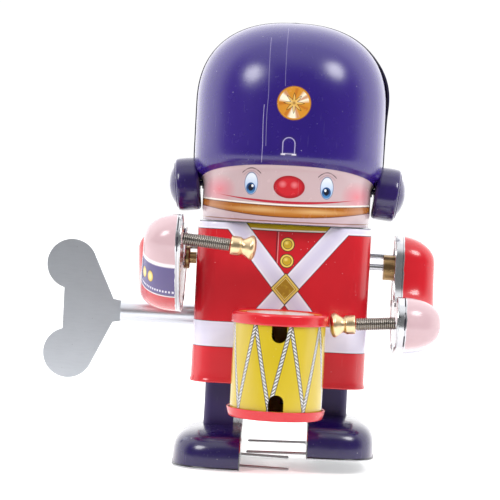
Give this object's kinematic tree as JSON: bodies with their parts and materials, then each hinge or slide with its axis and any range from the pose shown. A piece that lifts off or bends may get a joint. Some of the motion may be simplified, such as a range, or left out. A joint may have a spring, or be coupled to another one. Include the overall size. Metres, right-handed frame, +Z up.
{
  "type": "wind-up toy drummer",
  "caption": "Wind-up tin drummer in a tall guard's hat, with swinging arms, spring drumsticks, a side drum, walking legs and a winding key at the side.",
  "frame": {"origin": "on the floor, below the middle of the whole figure's box", "axes": "+Z up, -Y the way the figure faces, +X to the figure's left; the key stands out to -X"},
  "size_m": [0.148, 0.0896, 0.165],
  "materials": {
    "head_print": "gloss printed tin, purple hat over a pale pink face",
    "ear_lacquer": "gloss purple lacquer",
    "tunic_print": "gloss printed tin, red with pale cross belts",
    "drum_print": "gloss printed tin, yellow with twisted ropes",
    "drum_lid": "gloss red lacquer",
    "arm_print": "gloss printed tin, red sleeve, purple cuff, pale pink hand",
    "boot_lacquer": "gloss dark purple lacquer",
    "bare_tin": "bright tinned steel",
    "spring_steel": "bright hard-drawn wire and strip",
    "key_steel": "nickel-plated, soft gloss",
    "shaft_steel": "ground steel",
    "brass": "turned brass, light satin"
  },
  "bodies": {
    "figure": {"head_front_shell": "head_print", "head_rear_shell": "head_print", "ear_flange_right": "ear_lacquer", "ear_flange_left": "ear_lacquer", "ear_cup_right": "ear_lacquer", "ear_cup_left": "ear_lacquer", "ear_cap_right": "ear_lacquer", "ear_cap_left": "ear_lacquer", "tunic_front_shell": "tunic_print", "tunic_rear_shell": "tunic_print", "tunic_top_plate": "tunic_print", "tunic_base_plate": "bare_tin", "drum_shell": "drum_print", "drum_head": "drum_lid", "drum_bottom": "drum_lid", "drum_bracket": "bare_tin", "clockwork_plate_right": "bare_tin", "clockwork_plate_left": "bare_tin", "frame_posts": "bare_tin", "mainspring": "spring_steel", "shoulder_axle": "key_steel"},
    "winder": {"winding_arbor": "key_steel", "ratchet_wheel": "brass", "key_shank": "key_steel", "key_wing": "key_steel"},
    "main_gear_set": {"main_gear": "brass", "click_spring": "spring_steel"},
    "click_arm": {"click": "brass"},
    "upper_set": {"upper_pinion": "brass", "upper_wheel": "brass"},
    "lower_set": {"lower_pinion": "brass", "lower_wheel": "brass"},
    "arm_crank_set": {"arm_crank_shaft": "shaft_steel", "arm_crank_pinion": "brass", "arm_crank_right": "shaft_steel", "arm_crank_left": "shaft_steel"},
    "leg_crank_set": {"leg_crank_shaft": "shaft_steel", "leg_crank_pinion": "brass", "leg_crank_right": "shaft_steel", "leg_crank_left": "shaft_steel"},
    "arm_right": {"arm_plate_right": "bare_tin", "arm_shell_right": "arm_print", "shoulder_bush_right": "brass", "stick_spring_right": "spring_steel", "stick_tip_right": "brass"},
    "arm_left": {"arm_plate_left": "bare_tin", "arm_shell_left": "arm_print", "shoulder_bush_left": "brass", "stick_spring_left": "spring_steel", "stick_tip_left": "brass"},
    "leg_right": {"leg_plate_right": "bare_tin", "leg_shell_right": "boot_lacquer", "shoe_shell_right": "boot_lacquer", "sole_plate_right": "bare_tin", "outrigger_right": "spring_steel"},
    "leg_left": {"leg_plate_left": "bare_tin", "leg_shell_left": "boot_lacquer", "shoe_shell_left": "boot_lacquer", "sole_plate_left": "bare_tin", "outrigger_left": "spring_steel"}
  },
  "joints": [
    {"name": "leg_crank_spin", "type": "hinge", "parent": "figure", "child": "leg_crank_set", "pos_m": [0.016, 0.01282, 0.0375], "axis": [1, 0, 0], "continuous": true},
    {"name": "leg_right_carry", "type": "hinge", "parent": "leg_crank_set", "child": "leg_right", "pos_m": [0.004, 0.00967, 0.03504], "axis": [1, 0, 0], "continuous": true},
    {"name": "leg_left_carry", "type": "hinge", "parent": "leg_crank_set", "child": "leg_left", "pos_m": [0.028, 0.01598, 0.03996], "axis": [1, 0, 0], "continuous": true},
    {"name": "lower_wheel_spin", "type": "hinge", "parent": "figure", "child": "lower_set", "pos_m": [0.016, 0.0051, 0.04746], "axis": [1, 0, 0], "continuous": true},
    {"name": "main_gear_spin", "type": "hinge", "parent": "figure", "child": "main_gear_set", "pos_m": [0.016, 0.02032, 0.053], "axis": [1, 0, 0], "continuous": true},
    {"name": "upper_wheel_spin", "type": "hinge", "parent": "figure", "child": "upper_set", "pos_m": [0.016, 0.02458, 0.06863], "axis": [1, 0, 0], "continuous": true},
    {"name": "arm_crank_spin", "type": "hinge", "parent": "figure", "child": "arm_crank_set", "pos_m": [0.016, 0.01742, 0.079], "axis": [1, 0, 0], "continuous": true},
    {"name": "key_turn", "type": "hinge", "parent": "figure", "child": "winder", "pos_m": [-0.029, 0.02032, 0.053], "axis": [1, 0, 0], "continuous": true},
    {"name": "click_lift", "type": "hinge", "parent": "main_gear_set", "child": "click_arm", "pos_m": [0.0138, 0.02482, 0.04521], "axis": [1, 0, 0], "range_deg": [-8, 0], "stiffness_Nm_per_rad": 0.0005, "springref_deg": 5.73},
    {"name": "arm_right_swing", "type": "hinge", "parent": "figure", "child": "arm_right", "pos_m": [-0.021, 0.01282, 0.075], "axis": [1, 0, 0], "range_deg": [0, 20]},
    {"name": "arm_left_swing", "type": "hinge", "parent": "figure", "child": "arm_left", "pos_m": [0.058, 0.01282, 0.075], "axis": [1, 0, 0], "range_deg": [-20, 0]}
  ],
  "couplings": [
    {"joint": "leg_right_carry", "follows": "leg_crank_spin", "ratio": -1},
    {"joint": "leg_left_carry", "follows": "leg_crank_spin", "ratio": -1},
    {"joint": "lower_wheel_spin", "follows": "leg_crank_spin", "ratio": -0.4},
    {"joint": "main_gear_spin", "follows": "leg_crank_spin", "ratio": 0.090909},
    {"joint": "upper_wheel_spin", "follows": "leg_crank_spin", "ratio": -0.4},
    {"joint": "arm_crank_spin", "follows": "leg_crank_spin", "ratio": 1},
    {"joint": "arm_left_swing", "follows": "arm_right_swing", "ratio": -1}
  ]
}
